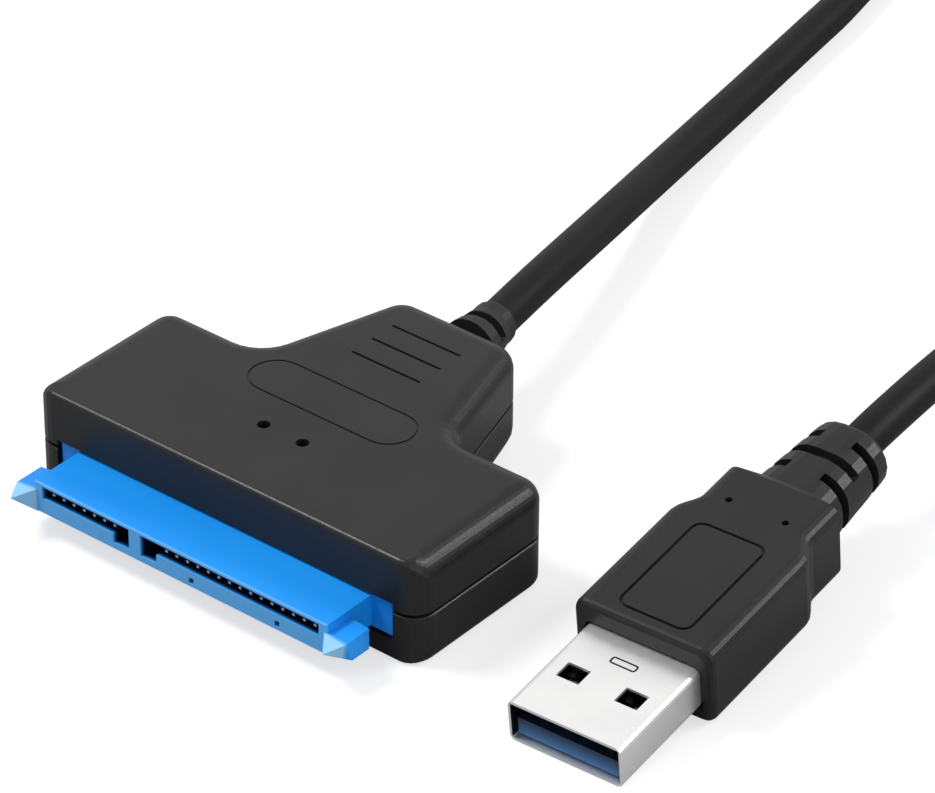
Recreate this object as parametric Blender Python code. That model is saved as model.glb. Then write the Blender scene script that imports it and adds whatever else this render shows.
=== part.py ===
"""USB to SATA adapter: a moulded head with a blue receptacle, a cable and a USB plug.

Metres, +Z up. The adapter lies on z = 0 with its receptacle facing -Y. Every piece of the head
hangs on one empty, whose own origin is at the middle of the receptacle's front face on the
surface below it, and every piece of the plug hangs on a second empty at the plug's tip.
"""

import math

import bmesh
import bpy
from mathutils import Matrix, Vector

# Fits
FIT_GAP = 0.0003
BOARD_MARGIN = 0.0005
CUT_PAST = 0.0006
SHARP_ANGLE = 35

# Receptacle: contact rows, slots and the moulded body
CONTACT_PITCH = 0.00127
SIGNAL_COUNT = 7
POWER_COUNT = 15
SEGMENT_STEP = 5
SLOT_END_MARGIN = 0.000925
END_WALL = 0.00095
SIGNAL_KEY_REACH = 0.002255
POWER_KEY_REACH = 0.002695
KEY_WIDTH = 0.00195
KEY_DROP = 0.00095
SLOT_HEIGHT = 0.0013
SLOT_TOP_WALL = 0.0003
BODY_HEIGHT = 0.0033
BODY_LIFT = 0.0026
NOSE_LENGTH = 0.00625
NOSE_CHAMFER = 0.0001
REAR_LENGTH = 0.0030
FLANGE_WIDTH = 0.0402
FLANGE_HEIGHT = 0.0035
FLANGE_SINK = 0.0002
FLANGE_THICKNESS = 0.0010
PEEP_HOLE_SIZE = 0.0006
PEEP_HOLE_DEPTH = 0.0006
PEEP_HOLE_RISE = 0.00075
PEEP_HOLE_SPREAD = 0.01028
PEEP_HOLE_MIDDLE = 0.00671

# Guide wings beside the receptacle
WING_SPAN = 0.0022
WING_DEPTH = 0.0032
WING_SHOULDER = 0.0009
WING_RIDGE = 0.0022
WING_ROOT_HEIGHT = 0.00245
WING_TIP_SPAN = 0.0012
WING_TIP_REACH = 0.0020
WING_TIP_HEIGHT = 0.0018
WING_ROOT_OVERLAP = 0.0003

# Contacts
CONTACT_WIDTH = 0.0003
CONTACT_THICKNESS = 0.00025
CONTACT_SETBACK = 0.0006
CONTACT_TIP_LENGTH = 0.0006
CONTACT_SPRING_LENGTH = 0.0016
CONTACT_DIP = 0.00045
CONTACT_TAIL = 0.0032

# Housing
HOUSING_WIDTH = 0.0466
HOUSING_DEPTH = 0.0187
HOUSING_HEIGHT = 0.0112
FACE_RECESS = 0.00035
NECK_ROOT_WIDTH = 0.0233
NECK_END_WIDTH = 0.0143
NECK_LENGTH = 0.0157
CORNER_RADIUS = 0.0023
HOLLOW_RADIUS = 0.0035
NECK_CORNER_RADIUS = 0.0027
TOP_EDGE_RADIUS = 0.0022
TOP_EDGE_STEPS = 10
FRONT_EDGE_RADIUS = 0.0005
BOTTOM_EDGE_RADIUS = 0.0010
NECK_BOTTOM_RADIUS = 0.0025
SEAM_HEIGHT = 0.00535
SEAM_CHAMFER = 0.0001
SHELL_WALL = 0.0013
POST_RADIUS = 0.0012
POST_SPREAD = 0.0340
POST_BACK = 0.0045
POST_PITCH = 0.0055

# Marks on the top
MARK_DEPTH = 0.00025
MARK_WIDTH = 0.0003
OUTLINE_DEPTH = 0.00012
OUTLINE_WIDTH = 0.00022
BADGE_LENGTH = 0.0192
BADGE_WIDTH = 0.0056
BADGE_BACK = 0.0031
LED_SPREAD = 0.0047
LED_BACK = 0.0087
LED_HOLE_RADIUS = 0.00065
LINE_LENGTH = 0.0083
LINE_PITCH = 0.00295
LINE_COUNT = 3
LINE_BACK = 0.0052

# Circuit board and what it carries
BOARD_THICKNESS = 0.0010
TONGUE_WIDTH = 0.0124
TONGUE_BACK = 0.0042
LED_SIZE = (0.0008, 0.0012, 0.0006)
CHIP_ROW_BACK = 0.0040
BRIDGE_CHIP_SIZE = (0.0060, 0.0060, 0.0009)
FLASH_CHIP_SIZE = (0.0050, 0.0040, 0.0015)
CRYSTAL_SIZE = (0.0032, 0.0025, 0.0008)
INDUCTOR_SIZE = (0.0040, 0.0040, 0.0018)
CAPACITOR_SIZE = (0.0016, 0.0032, 0.0016)
WIRE_RADIUS = 0.00035
WIRE_PITCH = 0.0011
WIRE_PAD_PITCH = 0.0024
WIRE_LANDING = 0.0020

# Strain relief at the head
RELIEF_DROP = 0.0040
RELIEF_LENGTH = 0.0066
RELIEF_TAPER_LENGTH = 0.0052
RELIEF_ROOT_RADIUS = 0.0032
RELIEF_END_RADIUS = 0.00235
RELIEF_RIM_RADIUS = 0.0003
RELIEF_TURN = 10.5
RELIEF_BEND_LENGTH = 0.0020
PASSAGE_RADIUS = 0.0020
ANCHOR_WIDTH = 0.0070
ANCHOR_HEIGHT = 0.0042
ANCHOR_THICKNESS = 0.0015
RELIEF_SLOT_WIDTH = 0.0012
RELIEF_SLOT_PITCH = 0.0026
RELIEF_SLOT_FIRST = 0.0008
RELIEF_SLOT_DEPTH = 0.0007
RELIEF_SLOT_SPAN = 160.0

# Cable: its route is a list of places on the way, chosen by hand
CABLE_DIAMETER = 0.0040
CABLE_STEP = 0.0085
CABLE_ROUTE = (
    (-0.0029, 0.0560, 0.0068),
    (-0.00676, 0.0720, 0.0050),
    (-0.0105, 0.0865, 0.0031),
    (-0.0141, 0.1050, 0.0021),
    (-0.0171, 0.1240, 0.0021),
    (-0.0194, 0.1395, 0.0021),
    (-0.0152, 0.1568, 0.0021),
    (0.0000, 0.1659, 0.0021),
    (0.0173, 0.1617, 0.0021),
    (0.0264, 0.1465, 0.0021),
    (0.0286, 0.1290, 0.0021),
    (0.0308, 0.1120, 0.0024),
    (0.0335, 0.0940, 0.0043),
    (0.0362, 0.0775, 0.0069),
    (0.0381, 0.0640, 0.0086),
)

# USB plug: its place, then its pieces from the tip backwards
PLUG_TIP_X = 0.0417
PLUG_TIP_Y = 0.0040
PLUG_HEADING = 3.0
PLUG_PITCH = 7.0
PLUG_SHELL_WIDTH = 0.0120
PLUG_SHELL_HEIGHT = 0.0045
PLUG_SHELL_WALL = 0.0003
PLUG_SHELL_RADIUS = 0.0006
PLUG_SHELL_SHOWN = 0.0120
PLUG_SHELL_SUNK = 0.0050
WINDOW_WIDTH = 0.0024
WINDOW_LENGTH = 0.0020
WINDOW_SPREAD = 0.0062
WINDOW_BACK = 0.0059
LANCE_WIDTH = 0.0028
LANCE_LENGTH = 0.00095
LANCE_BACK = 0.0092
LANCE_RADIUS = 0.0003
LANCE_GROOVE_WIDTH = 0.0002
LANCE_GROOVE_DEPTH = 0.00018
TONGUE_PLATE_HEIGHT = 0.00184
TONGUE_SETBACK = 0.0005
CORE_BACK = 0.0088
PIN_WIDTH = 0.0010
PIN_HEIGHT = 0.0002
PIN_LENGTH = 0.0047
PIN_SETBACK = 0.0018
PIN_NEAR = 0.0010
PIN_FAR = 0.0035
REAR_PIN_COUNT = 5
REAR_PIN_PITCH = 0.0020
REAR_PIN_WIDTH = 0.0008
REAR_PIN_LENGTH = 0.0014

# Grip and its strain relief
GRIP_WIDTH = 0.0148
GRIP_HEIGHT = 0.0084
GRIP_DROP = 0.0016
GRIP_FRONT_LENGTH = 0.0150
GRIP_STEP_LENGTH = 0.0032
GRIP_REAR_LENGTH = 0.0054
GRIP_STEP_IN = 0.0014
GRIP_EDGE_RADIUS = 0.0013
GRIP_FRONT_RADIUS = 0.0006
BOOT_WIDTH = 0.0088
BOOT_HEIGHT = 0.0072
BOOT_ROOT_RADIUS = 0.0029
BOOT_END_WIDTH = 0.0080
BOOT_END_HEIGHT = 0.0066
BOOT_SHOULDER = 0.0010
BOOT_LENGTH = 0.0105
BOOT_SLOT_WIDTH = 0.0011
BOOT_SLOT_PITCH = 0.0027
BOOT_SLOT_FIRST = 0.0026
BOOT_SLOT_CORE = 0.0026
BOOT_SLOT_SPAN = 125.0
PANEL_WIDTH = 0.0078
PANEL_LENGTH = 0.0132
PANEL_BACK = 0.0014
PANEL_RADIUS = 0.0012
DIMPLE_RADIUS = 0.00035
DIMPLE_SPREAD = 0.0061
DIMPLE_BACK = 0.0183

# Places that follow from the sizes above, measured in the head's frame
ROW_LENGTH = (SIGNAL_COUNT + POWER_COUNT - 2 + SEGMENT_STEP) * CONTACT_PITCH
FIRST_CONTACT_X = -ROW_LENGTH / 2
LAST_SIGNAL_X = FIRST_CONTACT_X + (SIGNAL_COUNT - 1) * CONTACT_PITCH
FIRST_POWER_X = LAST_SIGNAL_X + SEGMENT_STEP * CONTACT_PITCH
SLOT_OUTER_X = ROW_LENGTH / 2 + SLOT_END_MARGIN
BODY_HALF_WIDTH = SLOT_OUTER_X + END_WALL
SLOT_TOP = BODY_LIFT + BODY_HEIGHT - SLOT_TOP_WALL
SLOT_BOTTOM = SLOT_TOP - SLOT_HEIGHT
FLANGE_BOTTOM = BODY_LIFT - FLANGE_SINK
FLANGE_TOP = FLANGE_BOTTOM + FLANGE_HEIGHT
BODY_BACK = NOSE_LENGTH + FLANGE_THICKNESS + REAR_LENGTH
CONTACT_LEVEL = SLOT_TOP - FIT_GAP - CONTACT_THICKNESS / 2
FACE_Y = NOSE_LENGTH - FACE_RECESS
SHOULDER_Y = FACE_Y + HOUSING_DEPTH
NECK_Y = SHOULDER_Y + NECK_LENGTH
RELIEF_HEIGHT = HOUSING_HEIGHT - RELIEF_DROP
FLOOR_TOP = BODY_LIFT - FIT_GAP
CEILING = HOUSING_HEIGHT - SHELL_WALL
BOARD_TOP = CONTACT_LEVEL - CONTACT_THICKNESS / 2 - FIT_GAP
BOARD_BOTTOM = BOARD_TOP - BOARD_THICKNESS
BOARD_HALF_WIDTH = HOUSING_WIDTH / 2 - SHELL_WALL - BOARD_MARGIN
LED_Y = FACE_Y + LED_BACK
GRIP_Y = PLUG_SHELL_SHOWN
BOOT_Y = GRIP_Y + GRIP_FRONT_LENGTH + GRIP_STEP_LENGTH + GRIP_REAR_LENGTH
PLUG_AXIS_HEIGHT = GRIP_HEIGHT / 2 - GRIP_DROP


def remove_everything():
    for item in list(bpy.data.objects):
        bpy.data.objects.remove(item, do_unlink=True)


def material(name, color, roughness, metallic=0.0):
    """One Principled material, made once and then shared."""
    known = bpy.data.materials.get(name)
    if known:
        return known
    made = bpy.data.materials.new(name)
    made.use_nodes = True
    surface = made.node_tree.nodes["Principled BSDF"]
    surface.inputs["Base Color"].default_value = (*color, 1.0)
    surface.inputs["Roughness"].default_value = roughness
    surface.inputs["Metallic"].default_value = metallic
    made.diffuse_color = (*color, 1.0)
    return made


def charcoal_plastic():
    return material("charcoal_plastic", (0.045, 0.045, 0.047), 0.55)


def blue_plastic():
    return material("blue_plastic", (0.02, 0.26, 0.72), 0.35)


def dark_blue_plastic():
    return material("dark_blue_plastic", (0.02, 0.12, 0.36), 0.4)


def black_rubber():
    return material("black_rubber", (0.022, 0.022, 0.023), 0.5)


def gold_plate():
    return material("gold_plate", (0.83, 0.62, 0.27), 0.3, 1.0)


def nickel_plate():
    return material("nickel_plate", (0.80, 0.80, 0.79), 0.25, 1.0)


def board_green():
    return material("board_green", (0.03, 0.16, 0.07), 0.5)


def chip_black():
    return material("chip_black", (0.03, 0.03, 0.03), 0.6)


def ceramic_tan():
    return material("ceramic_tan", (0.42, 0.33, 0.22), 0.5)


def clear_plastic():
    return material("clear_plastic", (0.75, 0.75, 0.72), 0.2)


def place(item, surface, parent):
    """Puts a finished object into the scene with its material and its parent."""
    if surface:
        item.data.materials.append(surface)
    item.parent = parent
    bpy.context.scene.collection.objects.link(item)
    return item


def solid(name, bm, surface, parent):
    """An object from closed geometry, faces out, smooth except at its sharp edges."""
    bmesh.ops.recalc_face_normals(bm, faces=bm.faces[:])
    mesh = bpy.data.meshes.new(name)
    bm.to_mesh(mesh)
    bm.free()
    mesh.shade_smooth()
    mesh.set_sharp_from_angle(angle=math.radians(SHARP_ANGLE))
    return place(bpy.data.objects.new(name, mesh), surface, parent)


def combine(target, tool, operation):
    """Joins a tool's shape to an object or cuts it out, and marks the new sharp edges."""
    step = target.modifiers.new(tool.name, "BOOLEAN")
    step.operation = operation
    step.object = tool
    step.solver = "EXACT"
    bpy.context.view_layer.update()
    shaped = target.evaluated_get(bpy.context.evaluated_depsgraph_get())
    mesh = bpy.data.meshes.new_from_object(shaped)
    target.modifiers.remove(step)
    target.data = mesh
    bpy.data.objects.remove(tool, do_unlink=True)
    mesh.shade_smooth()
    mesh.set_sharp_from_angle(angle=math.radians(SHARP_ANGLE))


def add_loops(bm, loops):
    """A closed skin over a run of loops with equal counts, capped at both ends."""
    rings = [[bm.verts.new(point) for point in loop] for loop in loops]
    for near, far in zip(rings, rings[1:]):
        for index, vertex in enumerate(near):
            following = (index + 1) % len(near)
            bm.faces.new((vertex, near[following], far[following], far[index]))
    bm.faces.new(rings[0])
    bm.faces.new(rings[-1])


def lofted(name, loops, surface, parent):
    bm = bmesh.new()
    add_loops(bm, loops)
    return solid(name, bm, surface, parent)


def add_prism(bm, outline, bottom, top):
    """A flat outline in X and Y made into a block between two heights."""
    add_loops(bm, [[(x, y, height) for x, y in outline] for height in (bottom, top)])


def prism(name, outline, bottom, top, surface, parent):
    bm = bmesh.new()
    add_prism(bm, outline, bottom, top)
    return solid(name, bm, surface, parent)


def rectangle(low, high):
    return [(low[0], low[1]), (high[0], low[1]), (high[0], high[1]), (low[0], high[1])]


def add_box(bm, low, high):
    add_prism(bm, rectangle(low, high), low[2], high[2])


def box(name, low, high, surface, parent):
    bm = bmesh.new()
    add_box(bm, low, high)
    return solid(name, bm, surface, parent)


def add_ring_prism(bm, outer, inner, bottom, top):
    """The band between two outlines of equal count, as a block between two heights."""
    path = ((outer, bottom), (outer, top), (inner, top), (inner, bottom))
    rings = [[bm.verts.new((x, y, height)) for x, y in outline] for outline, height in path]
    for near, far in zip(rings, rings[1:] + rings[:1]):
        for index, vertex in enumerate(near):
            following = (index + 1) % len(near)
            bm.faces.new((vertex, near[following], far[following], far[index]))


def circle(centre, radius, count=20):
    turns = [2 * math.pi * index / count for index in range(count)]
    return [(centre[0] + radius * math.cos(turn), centre[1] + radius * math.sin(turn)) for turn in turns]


def rounded_corner(before, corner, after, radius, steps):
    """Points with outward normals round one corner of a counter-clockwise outline."""
    incoming = (corner - before).normalized()
    outgoing = (after - corner).normalized()
    turn = math.atan2(incoming.x * outgoing.y - incoming.y * outgoing.x, incoming.dot(outgoing))
    side = math.copysign(1.0, turn)
    start = corner - incoming * radius * math.tan(abs(turn) / 2)
    centre = start + Vector((-incoming.y, incoming.x)) * radius * side
    run = []
    for index in range(steps + 1):
        heading = Matrix.Rotation(turn * index / steps, 2) @ incoming
        normal = Vector((heading.y, -heading.x))
        run.append((centre + normal * radius * side, normal))
    return run


def rounded_outline(corners, steps=6):
    """Points and normals of an outline whose corners are given as x, y and radius."""
    places = [Vector(corner[:2]) for corner in corners]
    run = []
    for index, corner in enumerate(corners):
        before = places[index - 1]
        after = places[(index + 1) % len(places)]
        run += rounded_corner(before, places[index], after, corner[2], steps)
    return run


def rounded_rectangle(width, length, radius, centre=(0.0, 0.0), steps=5):
    """Points of a rectangle with round corners, counter-clockwise."""
    half = Vector((width / 2, length / 2))
    corners = [(sx * half.x, sy * half.y, radius) for sx, sy in ((-1, -1), (1, -1), (1, 1), (-1, 1))]
    return [(point.x + centre[0], point.y + centre[1]) for point, _ in rounded_outline(corners, steps)]


def receptacle_section(inset):
    """The nose's outline in X and Z, drawn in by a chamfer."""
    low = BODY_LIFT + inset
    high = BODY_LIFT + BODY_HEIGHT - inset
    reach = BODY_HALF_WIDTH - inset
    return ((-reach, low), (reach, low), (reach, high), (-reach, high))


def nose_and_rear(parent):
    """The moulded bar that runs from the front face to the board, before its slots."""
    stations = ((0.0, NOSE_CHAMFER), (NOSE_CHAMFER, 0.0), (BODY_BACK, 0.0))
    loops = [[(x, y, z) for x, z in receptacle_section(inset)] for y, inset in stations]
    return lofted("sata_receptacle_body", loops, blue_plastic(), parent)


def add_wing(bm, side):
    """A pointed guide beside the nose, as the hull of its corners."""
    root = BODY_HALF_WIDTH - WING_ROOT_OVERLAP
    outer = BODY_HALF_WIDTH + WING_SPAN
    low = BODY_LIFT
    corners = (
        (root, 0.0, low),
        (root, 0.0, low + WING_ROOT_HEIGHT),
        (root, WING_DEPTH, low),
        (root, WING_DEPTH, low + WING_ROOT_HEIGHT),
        (outer, WING_DEPTH, low),
        (outer, WING_DEPTH, low + WING_RIDGE),
        (outer, WING_SHOULDER, low),
        (outer, 0.0, low + WING_RIDGE),
        (BODY_HALF_WIDTH + WING_TIP_SPAN, -WING_TIP_REACH, low + WING_TIP_HEIGHT),
    )
    made = [bm.verts.new((side * x, y, z)) for x, y, z in corners]
    bmesh.ops.convex_hull(bm, input=made)


def wings_and_flange(parent):
    bm = bmesh.new()
    add_wing(bm, -1)
    add_wing(bm, 1)
    low = (-FLANGE_WIDTH / 2, NOSE_LENGTH, FLANGE_BOTTOM)
    high = (FLANGE_WIDTH / 2, NOSE_LENGTH + FLANGE_THICKNESS, FLANGE_TOP)
    add_box(bm, low, high)
    return solid("wings_and_flange_tool", bm, None, parent)


def slot_outline(left, right, key_left, key_right):
    """An L-shaped slot in X and Z: a flat slot with a key leg hanging from one end."""
    points = [(left, SLOT_TOP), (left, SLOT_BOTTOM), (key_left, SLOT_BOTTOM)]
    points += [(key_left, SLOT_BOTTOM - KEY_DROP), (key_right, SLOT_BOTTOM - KEY_DROP)]
    points += [(key_right, SLOT_BOTTOM), (right, SLOT_BOTTOM), (right, SLOT_TOP)]
    distinct = []
    for point in points:
        if point not in distinct:
            distinct.append(point)
    return distinct


def slots(parent):
    """Both L-shaped slots, running through the bar, and the two small peep holes."""
    signal_end = LAST_SIGNAL_X + SIGNAL_KEY_REACH
    power_start = FIRST_POWER_X - POWER_KEY_REACH
    outlines = (
        slot_outline(-SLOT_OUTER_X, signal_end, signal_end - KEY_WIDTH, signal_end),
        slot_outline(power_start, SLOT_OUTER_X, power_start, power_start + KEY_WIDTH),
    )
    bm = bmesh.new()
    for outline in outlines:
        ends = (-CUT_PAST, BODY_BACK + CUT_PAST)
        add_loops(bm, [[(x, y, z) for x, z in outline] for y in ends])
    for side in (-0.5, 0.5):
        x = PEEP_HOLE_MIDDLE + side * PEEP_HOLE_SPREAD
        z = BODY_LIFT + PEEP_HOLE_RISE
        half = PEEP_HOLE_SIZE / 2
        add_box(bm, (x - half, -CUT_PAST, z - half), (x + half, PEEP_HOLE_DEPTH, z + half))
    return solid("slots_tool", bm, None, parent)


def sata_receptacle(parent):
    body = nose_and_rear(parent)
    combine(body, wings_and_flange(parent), "UNION")
    combine(body, slots(parent), "DIFFERENCE")


def contact_profile():
    """The side view of a spring contact in Y and Z: a low tip, a rise and a flat tail."""
    tip_end = CONTACT_SETBACK + CONTACT_TIP_LENGTH
    line = (
        (CONTACT_SETBACK, CONTACT_LEVEL - CONTACT_DIP),
        (tip_end, CONTACT_LEVEL - CONTACT_DIP),
        (tip_end + CONTACT_SPRING_LENGTH, CONTACT_LEVEL),
        (BODY_BACK + CONTACT_TAIL, CONTACT_LEVEL),
    )
    half = CONTACT_THICKNESS / 2
    upper = [(y, z + half) for y, z in line]
    lower = [(y, z - half) for y, z in reversed(line)]
    return lower + upper


def contact(name, x, parent):
    ends = (x - CONTACT_WIDTH / 2, x + CONTACT_WIDTH / 2)
    loops = [[(side, y, z) for y, z in contact_profile()] for side in ends]
    return lofted(name, loops, gold_plate(), parent)


def contacts(parent):
    for index in range(SIGNAL_COUNT):
        contact(f"signal_contact_{index + 1}", FIRST_CONTACT_X + index * CONTACT_PITCH, parent)
    for index in range(POWER_COUNT):
        contact(f"power_contact_{index + 1}", FIRST_POWER_X + index * CONTACT_PITCH, parent)


def housing_outline():
    """The head seen from above: a wide box whose back runs into a tapered neck."""
    half = HOUSING_WIDTH / 2
    root = NECK_ROOT_WIDTH / 2
    end = NECK_END_WIDTH / 2
    right = (
        (half, FACE_Y, CORNER_RADIUS),
        (half, SHOULDER_Y, CORNER_RADIUS),
        (root, SHOULDER_Y, HOLLOW_RADIUS),
        (end, NECK_Y, NECK_CORNER_RADIUS),
    )
    left = [(-x, y, radius) for x, y, radius in reversed(right)]
    return rounded_outline([*right, *left])


def drawn_in(height, radius):
    """How far a rounded edge has drawn in at a height below or above its crest."""
    if height >= radius:
        return 0.0
    return radius - math.sqrt(radius**2 - (radius - height) ** 2)


def edge_radius(normal, side_radius):
    """Edges are round at the sides and back and nearly sharp along the front."""
    front_share = max(0.0, -normal.y) ** 2
    return side_radius + (FRONT_EDGE_RADIUS - side_radius) * front_share


def bottom_radius(y):
    """The bottom edge grows rounder from the wide part to the end of the neck."""
    share = min(1.0, max(0.0, (y - SHOULDER_Y) / (NECK_LENGTH / 2)))
    return BOTTOM_EDGE_RADIUS + (NECK_BOTTOM_RADIUS - BOTTOM_EDGE_RADIUS) * share


def housing_loop(height, inset=0.0):
    """The housing's outer skin at one height, or a loop set in from it."""
    loop = []
    for point, normal in housing_outline():
        top = drawn_in(HOUSING_HEIGHT - height, edge_radius(normal, TOP_EDGE_RADIUS))
        bottom = drawn_in(height, edge_radius(normal, bottom_radius(point.y)))
        moved = point - normal * (inset + top + bottom)
        loop.append((moved.x, moved.y, height))
    return loop


def wall_loop(height):
    """The shells' inner skin at one height, one wall inside the outer skin."""
    loop = []
    for point, normal in housing_outline():
        top = max(0.0, edge_radius(normal, TOP_EDGE_RADIUS) - SHELL_WALL)
        bottom = max(0.0, edge_radius(normal, bottom_radius(point.y)) - SHELL_WALL)
        inset = SHELL_WALL + drawn_in(CEILING - height, top) + drawn_in(height - FLOOR_TOP, bottom)
        moved = point - normal * inset
        loop.append((moved.x, moved.y, height))
    return loop


def crest_heights(radius, steps=6):
    """Heights off a crest at which a rounded edge is cut into equal turns."""
    turns = [math.pi / 2 * (1 - index / steps) for index in range(steps + 1)]
    return [radius * (1 - math.sin(turn)) for turn in turns]


def upper_shell(parent):
    rim = SEAM_HEIGHT + FIT_GAP / 2
    depths = crest_heights(TOP_EDGE_RADIUS, TOP_EDGE_STEPS)
    loops = [housing_loop(HOUSING_HEIGHT - depth) for depth in depths]
    loops.append(housing_loop(rim + SEAM_CHAMFER))
    loops.append(housing_loop(rim, SEAM_CHAMFER))
    loops.append(wall_loop(rim))
    inner_radius = TOP_EDGE_RADIUS - SHELL_WALL
    loops += [wall_loop(CEILING - depth) for depth in reversed(crest_heights(inner_radius, 3))]
    return lofted("upper_shell", loops, charcoal_plastic(), parent)


def lower_shell(parent):
    rim = SEAM_HEIGHT - FIT_GAP / 2
    loops = [housing_loop(height) for height in crest_heights(NECK_BOTTOM_RADIUS)]
    loops.append(housing_loop(rim - SEAM_CHAMFER))
    loops.append(housing_loop(rim, SEAM_CHAMFER))
    loops.append(wall_loop(rim))
    inner_radius = NECK_BOTTOM_RADIUS - SHELL_WALL
    loops += [wall_loop(FLOOR_TOP + rise) for rise in reversed(crest_heights(inner_radius, 3))]
    return lofted("lower_shell", loops, charcoal_plastic(), parent)


def board_posts(parent):
    """Posts that stand in the lower shell's floor and carry the board."""
    bm = bmesh.new()
    rows = [BODY_BACK + POST_BACK + row * POST_PITCH for row in range(2)]
    bases = [(side * POST_SPREAD / 2, y) for side in (-1, 1) for y in rows]
    bases.append((0.0, NECK_Y - NECK_LENGTH / 2))
    for base in bases:
        add_prism(bm, circle(base, POST_RADIUS, 12), FLOOR_TOP - FIT_GAP, BOARD_BOTTOM - FIT_GAP)
    return solid("board_posts_tool", bm, None, parent)


def receptacle_opening(name, parent):
    """The window in the front wall that the flange sits in."""
    reach = FLANGE_WIDTH / 2 + FIT_GAP
    low = (-reach, FACE_Y - CUT_PAST, FLANGE_BOTTOM - FIT_GAP)
    high = (reach, FACE_Y + SHELL_WALL + CUT_PAST, FLANGE_TOP + FIT_GAP)
    return box(name, low, high, None, parent)


def cable_opening(name, parent):
    """The round hole in the neck's back wall that the strain relief passes through."""
    ring = circle((0.0, RELIEF_HEIGHT), PASSAGE_RADIUS + FIT_GAP, 24)
    ends = (NECK_Y - SHELL_WALL - CUT_PAST, NECK_Y + CUT_PAST)
    return lofted(name, [[(x, y, z) for x, z in ring] for y in ends], None, parent)


def racetrack(inset):
    """The badge's outline with fully round ends, in the housing's plan."""
    middle = (0.0, SHOULDER_Y - BADGE_BACK)
    length = BADGE_LENGTH - 2 * inset
    width = BADGE_WIDTH - 2 * inset
    return rounded_rectangle(length, width, 0.499 * width, middle, steps=7)


def top_marks(parent):
    """The badge's groove, the engraved lines and the two holes for the lights."""
    bm = bmesh.new()
    floor = HOUSING_HEIGHT - MARK_DEPTH
    above = HOUSING_HEIGHT + MARK_DEPTH
    add_ring_prism(bm, racetrack(0.0), racetrack(OUTLINE_WIDTH), HOUSING_HEIGHT - OUTLINE_DEPTH, above)
    for index in range(LINE_COUNT):
        y = NECK_Y - LINE_BACK - index * LINE_PITCH
        half = Vector((LINE_LENGTH / 2, MARK_WIDTH / 2))
        add_box(bm, (-half.x, y - half.y, floor), (half.x, y + half.y, above))
    for side in (-0.5, 0.5):
        hole = circle((side * LED_SPREAD, LED_Y), LED_HOLE_RADIUS)
        add_prism(bm, hole, CEILING - CUT_PAST, above)
    return solid("top_marks_tool", bm, None, parent)


def housing(parent):
    upper = upper_shell(parent)
    lower = lower_shell(parent)
    combine(lower, board_posts(parent), "UNION")
    combine(upper, receptacle_opening("upper_opening_tool", parent), "DIFFERENCE")
    combine(lower, receptacle_opening("lower_opening_tool", parent), "DIFFERENCE")
    combine(upper, cable_opening("upper_cable_tool", parent), "DIFFERENCE")
    combine(lower, cable_opening("lower_cable_tool", parent), "DIFFERENCE")
    combine(upper, top_marks(parent), "DIFFERENCE")


def circuit_board(parent):
    """A T-shaped board: wide behind the receptacle, with a tongue into the neck."""
    front = BODY_BACK + FIT_GAP
    back = SHOULDER_Y - SHELL_WALL - BOARD_MARGIN
    tongue = TONGUE_WIDTH / 2
    end = NECK_Y - SHELL_WALL - TONGUE_BACK
    right = [(BOARD_HALF_WIDTH, front), (BOARD_HALF_WIDTH, back), (tongue, back), (tongue, end)]
    left = [(-x, y) for x, y in reversed(right)]
    prism("circuit_board", right + left, BOARD_BOTTOM, BOARD_TOP, board_green(), parent)


def board_part(name, centre, size, surface, parent):
    """A block that is soldered onto the board's top."""
    base = BOARD_TOP + FIT_GAP
    low = (centre[0] - size[0] / 2, centre[1] - size[1] / 2, base)
    high = (centre[0] + size[0] / 2, centre[1] + size[1] / 2, base + size[2])
    box(name, low, high, surface, parent)


def board_row(start, side, pieces, parent):
    """Parts side by side, shared out evenly between a start and the board's edge."""
    taken = sum(size[0] for _, size, _ in pieces)
    spacing = (BOARD_HALF_WIDTH - start - taken) / (len(pieces) + 1)
    edge = start
    for name, size, surface in pieces:
        middle = edge + spacing + size[0] / 2
        board_part(name, (side * middle, LED_Y + CHIP_ROW_BACK), size, surface, parent)
        edge = middle + size[0] / 2


def board_parts(parent):
    """The chips and passive parts, in a row behind the lights."""
    board_part("bridge_chip", (0.0, LED_Y + CHIP_ROW_BACK), BRIDGE_CHIP_SIZE, chip_black(), parent)
    to_the_right = (
        ("crystal", CRYSTAL_SIZE, nickel_plate()),
        ("power_inductor", INDUCTOR_SIZE, chip_black()),
        ("input_capacitor", CAPACITOR_SIZE, ceramic_tan()),
    )
    to_the_left = (
        ("flash_chip", FLASH_CHIP_SIZE, chip_black()),
        ("output_capacitor", CAPACITOR_SIZE, ceramic_tan()),
    )
    board_row(BRIDGE_CHIP_SIZE[0] / 2, 1, to_the_right, parent)
    board_row(BRIDGE_CHIP_SIZE[0] / 2, -1, to_the_left, parent)


def lights(parent):
    """The two lights on the board, each below its hole in the top."""
    for name, side in (("power_led", -0.5), ("activity_led", 0.5)):
        board_part(name, (side * LED_SPREAD, LED_Y), LED_SIZE, clear_plastic(), parent)


def section(width, height, radius, steps=5):
    """A rounded rectangle about the origin, as seen along a piece's axis."""
    limited = min(radius, 0.499 * width, 0.499 * height)
    return rounded_rectangle(width, height, limited, steps=steps)


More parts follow.
